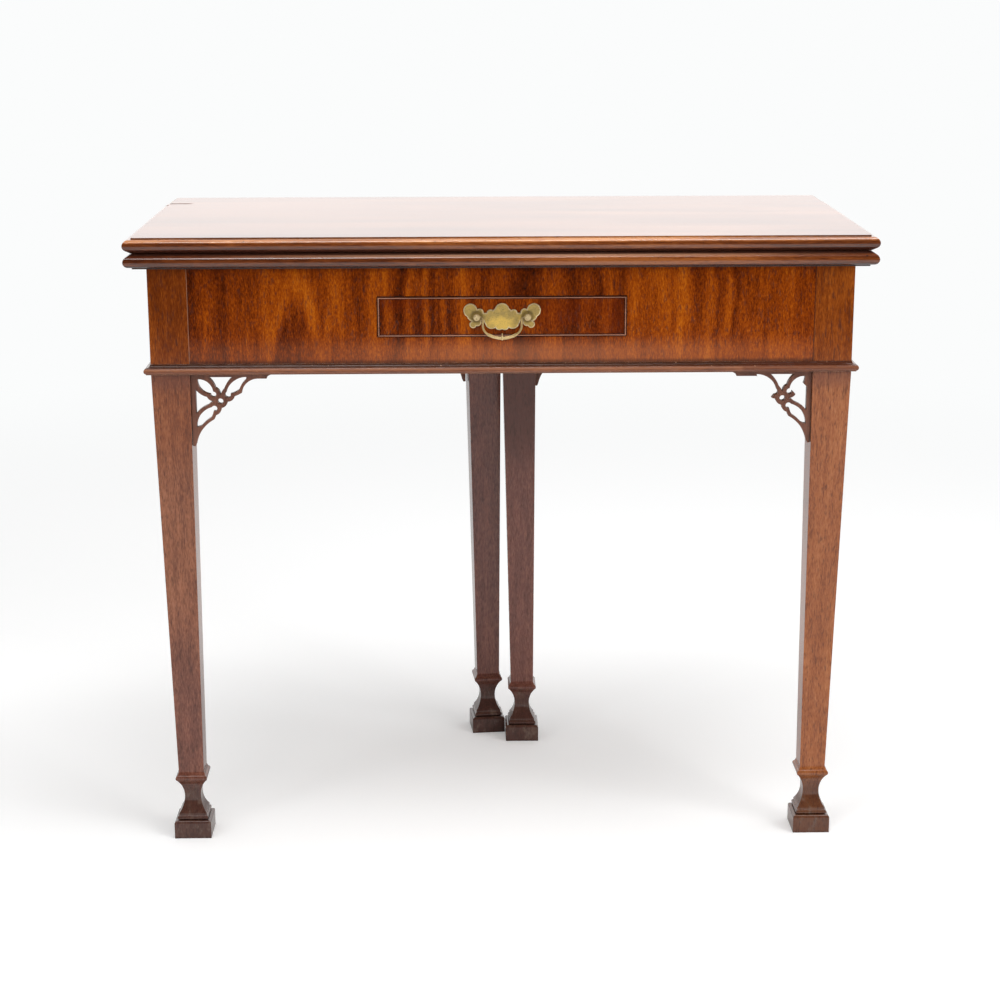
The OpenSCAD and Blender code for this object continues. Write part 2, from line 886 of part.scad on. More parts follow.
module hinge_block(side) {
    w = abs(pin_x[side < 0 ? 0 : 1] + side * -1 * side_in);
    post = pin_in + finger_gap;
    color(pine)
        translate([pin_x[side < 0 ? 0 : 1], pin_y, 0])
            mirror([side < 0 ? 1 : 0, 0, 0])
                difference() {
                    union() {
                        translate([0, 0, rail_bot])
                            linear_extrude(rail_h)
                                board_outline(w);
                        finger_stack(0, rail_h);
                        box([w - block_post_w, inner_rail_back - pin_y, rail_bot], [w, -pin_in + e, rail_top]);
                    }
                    gate_pin_hole();
                }
}

module gate_pin(side) {
    color(iron)
        translate([pin_x[side < 0 ? 0 : 1], pin_y, rail_bot])
            cylinder(h = rail_h, r = gate_pin_r);
}

module fly_tenon() {
    box([gate_r - leg_s / 2 - e, -tenon_t / 2, rail_bot + tenon_shoulder],
        [gate_r - leg_s / 2 + fly_tenon_l, tenon_t / 2, rail_bot + fly_h - tenon_shoulder]);
}

module fly_rail(side) {
    color(mahogany)
        gate_place(side)
            difference() {
                union() {
                    translate([0, 0, rail_bot])
                        linear_extrude(fly_h)
                            board_outline(gate_r - leg_s / 2);
                    finger_stack(1, fly_h);
                    fly_tenon();
                }
                gate_pin_hole();
            }
}

module gate_leg(side) {
    color(mahogany)
        gate_place(side)
            difference() {
                translate([gate_r, pin_in - leg_s / 2, 0])
                    leg(rail_bot + fly_h, -side * gate_lean, 0);
                fly_tenon();
            }
}

module bracket_gate(side) {
    color(mahogany)
        gate_place(side)
            translate([gate_r - leg_s / 2, -bracket_t / 2, 0])
                mirror([1, 0, 0])
                    bracket(false);
}

// Drawer runners, guides and kickers, between the front rail and the inner rail

module between_rails(x0, x1, z0, z1) {
    box([x0, front_y + rail_t, z0], [x1, inner_rail_front, z1]);
}

module runner(side) {
    x0 = drawer_w / 2 - runner_in;
    color(pine)
        on_side(side)
            between_rails(x0, x0 + runner_w, runner_top - runner_h, runner_top);
}

module guide(side) {
    x0 = drawer_w / 2 + guide_gap;
    color(pine)
        on_side(side)
            between_rails(x0, x0 + guide_w, runner_top, runner_top + guide_h);
}

module kicker(side) {
    x1 = drawer_w / 2 + guide_gap;
    z0 = drawer_z + drawer_side_h + kicker_gap;
    color(pine)
        on_side(side)
            between_rails(x1 - kicker_w, x1, z0, z0 + kicker_h);
}

// Glue blocks in the angle of the rails and the top, each with a screw up into the lower leaf

function glue_places() = [
    for (s = sides) [s * (side_in - glue_s / 2), front_y + leg_s + glue_l],
    for (s = sides) [s * (side_in - glue_s / 2), inner_rail_front - glue_l],
];

module glue_blocks() {
    color(pine)
        difference() {
            for (p = glue_places())
                box([p[0] - glue_s / 2, p[1] - glue_l / 2, rail_top - glue_s],
                    [p[0] + glue_s / 2, p[1] + glue_l / 2, rail_top]);
            top_screw_bodies(screw_fit);
        }
}

module top_screw_bodies(grow) {
    for (p = glue_places())
        translate([p[0], p[1], rail_top - glue_s]) {
            cylinder(h = glue_s + top_screw_in, r = top_screw_r + grow);
            cylinder(h = top_screw_r, r1 = top_head_r + grow, r2 = top_screw_r + grow);
        }
}

module top_screws() {
    color(iron)
        top_screw_bodies(0);
}

// Drawer, with y measured from the face of its front

module drawer_place() {
    translate([0, front_y, drawer_z])
        children();
}

// A dovetail of length l from its root at y, turned to point forward or back
module tail(y, z, l, turn) {
    translate([y, z])
        rotate(turn)
            polygon([[-e, -tail_root / 2], [0, -tail_root / 2], [l, -(tail_root + tail_flare) / 2],
                [l, (tail_root + tail_flare) / 2], [0, tail_root / 2], [-e, tail_root / 2]]);
}

function back_z() = bottom_up + bottom_t;

module drawer_side_outline() {
    body_end = drawer_l - side_t;
    back_h = drawer_side_h - back_z();
    translate([front_t, 0])
        square([body_end - front_t, drawer_side_h]);
    translate([body_end - e, 0])
        square([side_t + e, back_z()]);
    for (f = [0.27, 0.76])
        tail(front_t, f * drawer_side_h, tail_l, 180);
    tail(body_end, back_z() + back_h / 2, side_t, 0);
}

module drawer_bottom_body() {
    half = drawer_w / 2 - side_t + groove;
    box([-half, front_t - groove, bottom_up], [half, drawer_l, bottom_up + bottom_t]);
}

module drawer_side_body(side) {
    on_side(side)
        along_x(drawer_w / 2 - side_t, drawer_w / 2)
            drawer_side_outline();
}

module drawer_side(side) {
    color(pine)
        drawer_place()
            difference() {
                drawer_side_body(side);
                drawer_bottom_body();
            }
}

module drawer_bottom() {
    color(pine)
        drawer_place()
            drawer_bottom_body();
}

module drawer_back() {
    color(pine)
        drawer_place()
            difference() {
                box([-drawer_w / 2, drawer_l - side_t, back_z()], [drawer_w / 2, drawer_l, drawer_side_h]);
                for (side = sides)
                    drawer_side_body(side);
            }
}

module drawer_front() {
    half = drawer_w / 2;
    color(figured)
        drawer_place()
            difference() {
                box([-half, 0, 0], [half, front_t, drawer_h]);
                difference() {
                    box([-half - e, -e, -e], [half + e, bead_in, drawer_h + e]);
                    box([-half + bead_t, -2 * e, bead_t], [half - bead_t, bead_in + e, drawer_h - bead_t]);
                }
                for (side = sides)
                    drawer_side_body(side);
                drawer_bottom_body();
                post_bodies(screw_fit);
            }
}

// One bead of length l along X with mitred ends, its outer edge at z = 0 and its thickness to +Z
module bead(l) {
    intersection() {
        along_x(0, l) {
            translate([-bead_out + bead_t / 2, 0])
                square([bead_in + bead_out - bead_t / 2, bead_t]);
            translate([-bead_out + bead_t / 2, bead_t / 2])
                circle(bead_t / 2);
        }
        along_y(-bead_out - e, bead_in + e)
            polygon([[0, 0], [l, 0], [l - bead_t, bead_t], [bead_t, bead_t]]);
    }
}

module drawer_beads() {
    color(mahogany)
        drawer_place()
            for (side = sides) {
                translate([0, 0, side < 0 ? 0 : drawer_h])
                    mirror([0, 0, side < 0 ? 0 : 1])
                        translate([-drawer_w / 2, 0, 0])
                            bead(drawer_w);
                on_side(side)
                    translate([drawer_w / 2, 0, 0])
                        rotate([0, -90, 0])
                            bead(drawer_h);
            }
}

// Handle, about the middle of the back plate on the drawer's face

// Lobes of the back plate, each with its distance from the middle, its height and its radius
function plate_lobes(x) = [
    [0, plate_top_up, plate_top_r], [0, -1.5, plate_mid_r], [13, 3.6, 4.6], [x - 3.5, 4.6, 4.6],
    [x + 7, wing_up, wing_r], [x + 4, 1.5, 7], [x + 4, -tab_down, tab_r], [x - 1, -6.5, 4.5],
    [14, -4, 6.8], [12, -6.8, 7.4], [3.2, -10.6, 5],
];

module handle_place() {
    translate([0, front_y, handle_z])
        children();
}

module plate_outline() {
    x = post_gap / 2;
    half_w = x + 2;
    for (lobe = plate_lobes(x), side = sides)
        translate([side * lobe[0], lobe[1]])
            circle(lobe[2]);
    translate([-half_w, -5])
        square([2 * half_w, 9.2]);
}

module handle_plate() {
    color(brass)
        handle_place()
            difference() {
                along_y(-plate_t, 0)
                    plate_outline();
                translate([0, 0, drawer_z - handle_z])
                    post_bodies(screw_fit);
            }
}

// Shanks of the posts, in the drawer's place; grow widens them into their holes
module post_bodies(grow) {
    for (side = sides)
        translate([side * post_gap / 2, -plate_t - e, handle_z - drawer_z])
            rotate([-90, 0, 0])
                cylinder(h = plate_t + front_t + nut_t + 2 * e, r = post_r + grow);
}

module handle_posts() {
    color(brass)
        handle_place()
            difference() {
                union() {
                    translate([0, 0, drawer_z - handle_z])
                        post_bodies(0);
                    for (side = sides)
                        translate([side * post_gap / 2, -plate_t, 0]) {
                            rotate([90, 0, 0])
                                cylinder(h = post_out, r1 = post_r + 1, r2 = post_r + 0.4);
                            translate([0, -post_out, 0])
                                rotate([90, 0, 0])
                                    turned(post_head_r, post_head_l, post_chamfer);
                        }
                }
                bail_pins(bail_fit);
            }
}

module handle_nuts() {
    color(brass)
        handle_place()
            difference() {
                for (side = sides)
                    translate([side * post_gap / 2, 0, 0])
                        box([-nut_s / 2, front_t, -nut_s / 2], [nut_s / 2, front_t + nut_t, nut_s / 2]);
                translate([0, 0, drawer_z - handle_z])
                    post_bodies(screw_fit);
            }
}

// A round of length l about the origin and along Z, with a chamfer of c at both ends
module turned(r, l, c) {
    rotate_extrude()
        polygon([[0, -l / 2], [r - c, -l / 2], [r, c - l / 2], [r, l / 2 - c], [r - c, l / 2], [0, l / 2]]);
}

// Pivots of the bail, which enter the posts from inside
module bail_pins(grow) {
    reach = post_gap / 2 + post_head_r / 2;
    translate([0, -plate_t - post_out, 0])
        for (side = sides)
            on_side(side)
                translate([bail_w / 2 + bail_elbow_r - e, 0, 0])
                    rotate([0, 90, 0])
                        cylinder(h = reach - bail_w / 2 - bail_elbow_r + e + grow, r = bail_pin_r + grow);
}

// Part of a ring of radius r in X and Z, made of rod of radius rod_r
module bail_arc(r, rod_r, from, to) {
    rotate([90, 0, 0])
        rotate([0, 0, from])
            rotate_extrude(angle = to - from)
                translate([r, 0])
                    circle(rod_r);
}

// The rod swells from its pivots to its middle, and each stretch starts inside the next, thicker one
module bail() {
    lap = 2;
    color(brass)
        handle_place() {
            bail_pins(0);
            translate([0, -plate_t - post_out, 0]) {
                for (side = sides)
                    on_side(side) {
                        translate([bail_w / 2 + bail_elbow_r, 0, -bail_elbow_r])
                            bail_arc(bail_elbow_r, bail_rod_r * 0.9, 90, 180 + 4 * lap);
                        translate([bail_w / 2, 0, -bail_arm - e])
                            cylinder(h = bail_arm - bail_elbow_r + e, r = bail_rod_r);
                        translate([bail_w / 2 - bail_corner_r, 0, -bail_arm])
                            bail_arc(bail_corner_r, bail_rod_r * 1.08, -60 - lap, 0);
                    }
                translate([0, 0, bail_bottom_r + bail_mid_r - bail_drop])
                    bail_arc(bail_bottom_r, bail_mid_r, -120, -60);
                translate([0, 0, bail_mid_r - bail_drop]) {
                    rotate([0, 90, 0])
                        turned(knop_r, knop_l, (knop_r - bail_mid_r) / 2);
                    cylinder(h = spike_h, r1 = spike_r, r2 = spike_r / 2, $fn = 24);
                }
            }
        }
}

fixed_leaf();
folding_leaf();
front_rail();
side_rail(-1);  // side_rail_left
side_rail(1);  // side_rail_right
inner_rail();
front_leg(-1);  // front_leg_left
front_leg(1);  // front_leg_right
front_moulding();
side_moulding(-1);  // side_moulding_left
side_moulding(1);  // side_moulding_right
bracket_front(-1);  // bracket_front_left
bracket_front(1);  // bracket_front_right
bracket_side(-1);  // bracket_side_left
bracket_side(1);  // bracket_side_right
hinge_block(-1);  // hinge_block_left
hinge_block(1);  // hinge_block_right
gate_pin(-1);  // gate_pin_left
gate_pin(1);  // gate_pin_right
fly_rail(-1);  // fly_rail_left
fly_rail(1);  // fly_rail_right
gate_leg(-1);  // gate_leg_left
gate_leg(1);  // gate_leg_right
bracket_gate(-1);  // bracket_gate_left
bracket_gate(1);  // bracket_gate_right
runner(-1);  // runner_left
runner(1);  // runner_right
guide(-1);  // guide_left
guide(1);  // guide_right
kicker(-1);  // kicker_left
kicker(1);  // kicker_right
glue_blocks();
top_screws();
strap_pair(-1, false);  // strap_fixed_left
strap_pair(1, false);  // strap_fixed_right
strap_pair(-1, true);  // strap_folding_left
strap_pair(1, true);  // strap_folding_right
leaf_pin(-1);  // leaf_pin_left
leaf_pin(1);  // leaf_pin_right
strap_screws(false);  // strap_screws_fixed
strap_screws(true);  // strap_screws_folding
drawer_front();
drawer_beads();
drawer_side(-1);  // drawer_side_left
drawer_side(1);  // drawer_side_right
drawer_back();
drawer_bottom();
handle_plate();
handle_posts();
handle_nuts();
bail();
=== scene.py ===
# %% [markdown]
# A fold-over tea table in Blender.
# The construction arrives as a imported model: every board, moulding and screw is already an object in its place.
# What is left to do here is the looks. We point a camera, light a pale studio, and then give each piece the
# finish of the real one: polished mahogany with its figure, worn brass, bare pine and rusty iron.

import json
import math

import bmesh
import bpy
from mathutils import Matrix, Vector


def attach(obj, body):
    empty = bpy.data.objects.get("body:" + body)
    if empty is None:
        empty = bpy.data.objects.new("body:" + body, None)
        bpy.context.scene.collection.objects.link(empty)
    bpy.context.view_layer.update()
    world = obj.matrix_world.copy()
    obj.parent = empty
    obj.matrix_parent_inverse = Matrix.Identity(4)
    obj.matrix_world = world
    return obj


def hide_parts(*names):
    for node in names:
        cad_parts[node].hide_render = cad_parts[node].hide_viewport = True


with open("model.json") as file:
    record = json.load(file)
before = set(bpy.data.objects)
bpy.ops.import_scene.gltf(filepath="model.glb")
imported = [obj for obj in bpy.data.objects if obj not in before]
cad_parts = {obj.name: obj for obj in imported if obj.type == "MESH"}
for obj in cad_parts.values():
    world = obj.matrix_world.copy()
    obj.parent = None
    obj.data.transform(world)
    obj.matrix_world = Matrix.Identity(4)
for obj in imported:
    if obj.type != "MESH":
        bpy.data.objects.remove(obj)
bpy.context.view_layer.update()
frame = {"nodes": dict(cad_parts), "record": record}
nodes = frame["nodes"]
print("pieces in the packed table:", len(nodes))

# %% [markdown]
# The camera. The table is seen from the front, a little above the height of its top. A long lens keeps the legs
# nearly upright. The camera is built from three turns: tilt the lens down, turn it a little to the right, and
# roll it by a hair, each as a matrix, so that the order of the turns is plain to see.

# %% Point the camera
PHOTO_SIDE = 1000  # pixels
LENS_PX = 2083  # focal length in pixels of the photograph
SENSOR = 36  # millimetres, Blender's own sensor width
EYE = Vector((-0.0468, -2.5282, 1.0323))
TILT = 0.2550
TURN = -0.0188
ROLL = 0.0019


def add_camera():
    data = bpy.data.cameras.new("camera")
    data.sensor_width = SENSOR
    data.lens = SENSOR * LENS_PX / PHOTO_SIDE
    camera = bpy.data.objects.new("camera", data)
    turned = Matrix.Rotation(TURN, 4, "Z")
    tilted = Matrix.Rotation(math.pi / 2 - TILT, 4, "X")
    rolled = Matrix.Rotation(-ROLL, 4, "Z")
    camera.matrix_world = Matrix.Translation(EYE) @ turned @ tilted @ rolled
    bpy.context.collection.objects.link(camera)
    bpy.context.scene.camera = camera
    return camera


camera = add_camera()
print("lens in millimetres:", round(camera.data.lens, 1))

# %% [markdown]
# Shader maths. A finish is a chain of small sums, so we write them as Python expressions. Socket wraps one
# output of a node and overloads the operators, and each sum or product adds the Math node that it needs.
# Finish is one material under construction, and its add method makes every other kind of node.


# %% Wrap the sockets
MIX_COLOURS = (6, 7)  # a Mix node's colour inputs share their names with others, so they are called by place
MIX_RESULT = 2


class Socket:
    """A value on its way through a material."""

    def __init__(self, finish, link):
        self.finish = finish
        self.link = link

    def math(self, operation, *others):
        values = {0: self}
        values.update({i + 1: other for i, other in enumerate(others)})
        return self.finish.add("ShaderNodeMath", {"operation": operation}, values)

    def __add__(self, other):
        return self.math("ADD", other)

    def __radd__(self, other):
        return self.math("ADD", other)

    def __sub__(self, other):
        return self.math("SUBTRACT", other)

    def __rsub__(self, other):
        return (self * -1) + other

    def __mul__(self, other):
        return self.math("MULTIPLY", other)

    def __rmul__(self, other):
        return self.math("MULTIPLY", other)

    def between(self, low, high):
        """0 where the value is low, 1 where it is high, and a soft step from one to the other."""
        settings = {"interpolation_type": "SMOOTHSTEP"}
        values = {"Value": self, "From Min": low, "From Max": high, "To Min": 0.0, "To Max": 1.0}
        return self.finish.add("ShaderNodeMapRange", settings, values)


class Finish:
    """A material under construction."""

    def __init__(self, name):
        self.material = bpy.data.materials.new(name)
        self.material.use_nodes = True
        self.tree = self.material.node_tree
        self.tree.nodes.clear()

    def add(self, kind, settings=None, values=None, out=0):
        """Makes a node, sets it up, feeds its sockets and returns one of its outputs."""
        node = self.tree.nodes.new(kind)
        for name, value in (settings or {}).items():
            if name == "stops":
                self.set_stops(node, value)
            else:
                setattr(node, name, value)
        for name, value in (values or {}).items():
            self.feed(node.inputs[name], value)
        return Socket(self, node.outputs[out]) if node.outputs else None

    def feed(self, socket, value):
        if isinstance(value, Socket):
            self.tree.links.new(value.link, socket)
        else:
            socket.default_value = value

    def set_stops(self, node, stops):
        ramp = node.color_ramp
        while len(ramp.elements) < len(stops):
            ramp.elements.new(1.0)
        for element, (place, colour) in zip(ramp.elements, stops):
            element.position = place
            element.color = colour

    def here(self):
        return self.add("ShaderNodeTexCoord", out="Object")

    def xyz(self):
        return [self.add("ShaderNodeSeparateXYZ", None, {0: self.here()}, out=i) for i in range(3)]

    def mapped(self, scale, shift):
        values = {"Vector": self.here(), "Location": shift, "Scale": scale}
        return self.add("ShaderNodeMapping", None, values)

    def noise(self, scale, detail=2.0, rough=0.5, shift=(0, 0, 0), bend=0.0):
        """Noise whose grains are 1 / scale metres long on each axis."""
        values = {"Vector": self.mapped(scale, shift), "Scale": 1.0, "Detail": detail, "Roughness": rough,
                  "Distortion": bend}
        return self.add("ShaderNodeTexNoise", None, values, out="Fac")

    def mix(self, mask, first, second):
        """The first colour where the mask is 0, and the second where it is 1."""
        values = {"Factor": mask, MIX_COLOURS[0]: first, MIX_COLOURS[1]: second}
        return self.add("ShaderNodeMix", {"data_type": "RGBA"}, values, out=MIX_RESULT)

    def ramp(self, value, stops):
        return self.add("ShaderNodeValToRGB", {"stops": stops}, {"Fac": value}, out="Color")

    def bump(self, height, depth, below):
        values = {"Height": height, "Distance": depth, "Strength": 1.0, "Normal": below}
        return self.add("ShaderNodeBump", None, values, out="Normal")

    def rounded(self, radius):
        """The normal of the surface with its edges rounded off by radius, in metres."""
        return self.add("ShaderNodeBevel", {"samples": 4}, {"Radius": radius})

    def facing(self):
        return self.add("ShaderNodeNewGeometry", out="Normal")

    def pulse(self, value, centre, half):
        """1 where the value is at the centre, falling softly to 0 at half away from it."""
        return (value - centre).math("ABSOLUTE").between(half, 0.0)

    def layer(self, value, start, end):
        """1 from the start to the end, each a pair of places between which it rises or falls."""
        return value.between(*start) * value.between(*end)

    def surface(self, values):
        shader = self.add("ShaderNodeBsdfPrincipled", None, values)
        self.add("ShaderNodeOutputMaterial", None, {"Surface": shader})
        return self.material


def paint(red, green, blue):
    """A colour as a painter would name it, 0 to 255, in the linear values that shaders use."""
    linear = []
    for part in (red, green, blue):
        part = part / 255
        linear.append(part / 12.92 if part <= 0.04045 else ((part + 0.055) / 1.055) ** 2.4)
    return (*linear, 1.0)


print("shader helpers ready")

# %% [markdown]
# The studio. The floor is white and runs out of the picture on all sides, so the table's soft shadow is all that
# shows of it. Polished wood is judged by what it reflects, so the room is laid out like a real one: bright floor
# round the table and a bright wall behind it, and a dim room behind the photographer. Light Path tells the rays
# apart: the camera sees white floor everywhere, and only reflections find its dim end.

# %% Lay the floor
FLOOR_HALF = 14.0
FADE = (0.9, 2.8)  # the floor turns into the white of the background between these two distances
BRIGHT_END = (-3.0, -3.5)  # in reflections the floor in front dims between these two places, along Y
BACKDROP = paint(251, 252, 252)
FLOOR_LIFT = 0.22  # what the camera sees of the floor is a little whiter than its light alone would make it


def floor_finish():
    f = Finish("studio_floor")
    seen = f.add("ShaderNodeLightPath", out="Is Camera Ray")
    glossy = f.add("ShaderNodeLightPath", out="Is Glossy Ray")
    dim = (1 - f.xyz()[1].between(BRIGHT_END[1], BRIGHT_END[0])) * glossy
    colour = f.mix(dim, paint(240, 240, 240), paint(30, 28, 28))
    white = f.add("ShaderNodeBsdfDiffuse", None, {"Color": colour})
    lift = f.add("ShaderNodeEmission", None, {"Color": BACKDROP, "Strength": seen * FLOOR_LIFT})
    ground = f.add("ShaderNodeAddShader", None, {0: white, 1: lift})
    far = f.add("ShaderNodeEmission", None, {"Color": BACKDROP, "Strength": 1.0})
    distance = f.add("ShaderNodeVectorMath", {"operation": "LENGTH"}, {0: f.here()}, out="Value")
    faded = distance.between(*FADE) * seen
    both = f.add("ShaderNodeMixShader", None, {0: faded, 1: ground, 2: far})
    f.add("ShaderNodeOutputMaterial", None, {"Surface": both})
    return f.material


def add_floor():
    mesh = bpy.data.meshes.new("studio_floor")
    bm = bmesh.new()
    bmesh.ops.create_grid(bm, x_segments=1, y_segments=1, size=FLOOR_HALF)
    bm.to_mesh(mesh)
    bm.free()
    floor = bpy.data.objects.new("studio_floor", mesh)
    bpy.context.collection.objects.link(floor)
    mesh.materials.append(floor_finish())


add_floor()
print("floor side in metres:", 2 * FLOOR_HALF)

# %% [markdown]
# The light of the room comes from everywhere, but not evenly. A reflection that runs back over the top meets the
# bright wall, and one that runs forward meets the dim room. The dull part of each surface still gets even light,
# at the level at which a colour looks as it is written. Three lamps stand in it. The long one overhead also shows
# in the polish, as the soft line along each rounded edge. The two windows only light the wood: reflected, they
# would burn out the top when it is seen from behind.

# %% Fill the room with light
WALL_GLOSS = 1.88  # how bright a reflection finds the wall at the back
ROOM_GLOSS = 0.05  # the same for the room in front
WALL_TURN = (-0.5, 0.6)  # the Y of a reflection's direction, from all room to all wall
AMBIENT = 0.72
LAMP_TARGET = (0, 0, 0.5)


def set_world():
    world = bpy.data.worlds.new("studio")
    world.use_nodes = True
    bpy.context.scene.world = world
    f = Finish("studio_room")
    f.tree = world.node_tree
    f.tree.nodes.clear()
    direction = f.add("ShaderNodeTexCoord", out="Generated")
    back = f.add("ShaderNodeSeparateXYZ", None, {0: direction}, out="Y")
    glossy = f.add("ShaderNodeLightPath", out="Is Glossy Ray")
    seen = f.add("ShaderNodeLightPath", out="Is Camera Ray")
    reflected = back.between(*WALL_TURN) * (WALL_GLOSS - ROOM_GLOSS) + ROOM_GLOSS
    strength = reflected * glossy + (1 - glossy) * AMBIENT
    room = f.add("ShaderNodeBackground", None, {"Strength": strength})
    white = f.add("ShaderNodeBackground", None, {"Color": BACKDROP})
    both = f.add("ShaderNodeMixShader", None, {0: seen, 1: room, 2: white})
    f.add("ShaderNodeOutputWorld", None, {"Surface": both})


def add_lamp(name, place, size, power, mirrored):
    data = bpy.data.lights.new(name, "AREA")
    data.shape = "RECTANGLE"
    data.size, data.size_y = size
    data.energy = power
    lamp = bpy.data.objects.new(name, data)
    lamp.location = place
    aim = Vector(LAMP_TARGET) - Vector(place)
    lamp.rotation_euler = aim.to_track_quat("-Z", "Y").to_euler()
    lamp.visible_camera = False
    lamp.visible_glossy = mirrored
    bpy.context.collection.objects.link(lamp)


set_world()
add_lamp("overhead", (0.3, -0.5, 3.0), (2.6, 0.6), power=39, mirrored=True)
add_lamp("window_right", (2.6, -2.2, 2.0), (1.8, 1.8), power=46, mirrored=False)
add_lamp("window_left", (-2.4, -2.4, 1.7), (0.8, 1.2), power=10, mirrored=False)

# %% [markdown]
# Mahogany. Every board here is mahogany, yet no two are alike: the frieze is a figured veneer with its grain
# upright, the top is a plain wide board, the legs are straight-grained. What they share is the structure of the
# wood. Noise drawn out along the grain gives ribbons, streaks and fibres, and a last, very fine layer gives the
# open pores, which show as short dark lines. All of it is read from the place on the piece, so the figure runs on
# from one board to the next where the maker cut both from one sheet.


# %% The grain of the wood
def along(grain, across, stretch):
    """A mapping scale: across grains per metre over the board, and stretch times fewer along it."""
    return tuple(across / stretch if axis == grain else across for axis in "XYZ")


class Wood(Finish):
    """Mahogany under construction: its grain runs along one axis, shifted so that boards differ."""

    def __init__(self, name, grain, ribbon=22, shift=(0, 0, 0), fleck=10, streak=14):
        super().__init__(name)
        self.ribbons = self.noise(along(grain, ribbon, 5), 3.0, 0.55, shift=shift, bend=0.4)
        self.streaks = self.noise(along(grain, ribbon * 6, streak), 3.0, 0.6, shift=shift)
        self.fibres = self.noise(along(grain, 900, fleck), 2.0, 0.65, shift=shift)
        self.pores = self.noise(along(grain, 560, fleck), 1.0, 0.5, shift=shift).between(0.58, 0.70)

    def level(self, ribbons=0.5, streaks=0.4, fibres=0.3):
        """How light the wood is at a place, about 0.5 on the whole."""
        return (self.ribbons - 0.5) * ribbons + (self.streaks - 0.5) * streaks + (self.fibres - 0.5) * fibres + 0.5

    def tones(self, level, dark, middle, light, spread=0.25):
        """Three colours of wood laid over the level, the outer two a spread away from 0.5."""
        stops = [(0.5 - spread, dark), (0.5, middle), (0.5 + spread, light)]
        return self.ramp(level, [(place, paint(*colour)) for place, colour in stops])

    def polish(self, wood, gloss, gain=0.1, relief=0.00003, ior=1.5, rounding=0.0006, open_pores=0.12):
        """The finished surface: edges worn round catch the light, and pores are a little rougher."""
        height = self.fibres * 0.3 - self.pores
        return self.surface({
            "Base Color": wood, "Roughness": self.fibres * gain + self.pores * open_pores + gloss, "IOR": ior,
            "Specular IOR Level": 0.5, "Normal": self.bump(height, relief, self.rounded(rounding)),
        })


print("grain helpers ready")

# %% [markdown]
# Long use leaves its marks in the same places on any table, and the light and shade that fall there are painted in
# with them. Edges are painted pale, partly as rubbed wear and partly as a painted highlight, corners and grooves
# fill with dark wax and are painted with shade as well, and feet are scuffed and dusty. A Bevel node finds the
# edges, because its normal turns away from the face near them. Ambient Occlusion finds the corners that a duster
# doesn't reach, which are also where shade falls.

# %% Wear, grime and painted light
DARK_WAX_AND_SHADE = paint(34, 17, 12)
RUBBED_AND_HIGHLIT = paint(196, 132, 96)
DUST = paint(112, 92, 80)


def shade_and_grime(f, wood, reach=0.008, amount=0.75, wax_and_shade=DARK_WAX_AND_SHADE):
    # Ambient occlusion darkens corners and grooves: dark wax together with painted shade where light doesn't reach.
    open_air = f.add("ShaderNodeAmbientOcclusion", {"samples": 4}, {"Distance": reach}, out="AO")
    return f.mix((1 - open_air).between(0.25, 0.85) * amount, wood, wax_and_shade)


def rubbed_and_highlit(f, wood, radius=0.0008, amount=0.5, colour=RUBBED_AND_HIGHLIT):
    # Pale edges found by the Bevel node: rubbed wear together with a painted highlight of the light on the edge.
    turned = f.add("ShaderNodeVectorMath", {"operation": "DOT_PRODUCT"},
                   {0: f.rounded(radius), 1: f.facing()}, out="Value")
    patchy = f.noise((70, 70, 70), 3.0, 0.6).between(0.3, 0.6)
    return f.mix((1 - turned).between(0.02, 0.2) * patchy * amount, wood, colour)


print("wear helpers ready")

# %% [markdown]
# The frieze. Its veneer is the showpiece: dark soft bands and flame-like light ones stand upright across the
# front, and in the left half they bend round an arch, where the cut met the wood of a branch. The bands have
# places of their own, so each is one pulse at its place along X, swayed by a slow noise. The arch is a parabola:
# what lies below the curve is darker, and a bright rim runs along it.

# %% The figured frieze
# Each band's place and width in millimetres, and its push: below 0 it is dark, above 0 it is light.
FRIEZE_BANDS = [(-376, 15, -8), (-357, 18, -14), (-345, 60, -4), (-332, 10, 5), (-320, 14, -10), (-265, 16, 11),
                (-216, 12, 10), (-190, 16, 8), (-166, 12, -8), (-147, 11, 15), (-134, 9, 14), (-115, 12, -22),
                (-104, 8, 9), (-87, 8, 15), (-79, 7, -9), (-44, 14, 15), (-18, 13, -9), (25, 23, -23), (43, 9, -5),
                (60, 10, 6), (74, 15, -15), (106, 8, -13), (120, 9, 6), (130, 10, -5), (148, 12, 7), (184, 16, 10),
                (206, 13, 15), (225, 12, -6), (240, 8, 8), (247, 7, -14), (259, 8, 11), (268, 8, -10), (290, 14, 5),
                (320, 15, 8), (330, 8, 6), (353, 10, -6), (384, 16, 7)]
DRAWER_BANDS = [(-139, 8, -9), (-129, 8, 6), (-115, 10, -15), (-103, 7, 7), (-94, 9, -8), (-84, 6, 14),
                (-77, 6, -8), (-65, 7, 12), (-57, 7, -9), (-42, 11, 19), (-16, 12, 10), (34, 12, 14), (59, 9, 6),
                (75, 13, -11), (92, 9, 8), (104, 7, -6), (115, 9, 9), (131, 11, -12)]
PUSH = 0.005  # how much lighter a push of 1 makes the wood at the foot of the frieze; higher up it is twice that
PUSH_Z = (0.586, 0.632)
SWAY = 18  # millimetres that the bands wander
ARCH_AT = -233
ARCH_TOP = 647
ARCH_HALF = 70  # the arch is lost in the bands this far to each side
ARCH_SPREAD = 11.0  # square of the half width over the depth below the top
ARCH_INSIDE = (120, -160)  # these and the rim are measured as that square, outwards from the curve
ARCH_RIM = (330, 380)


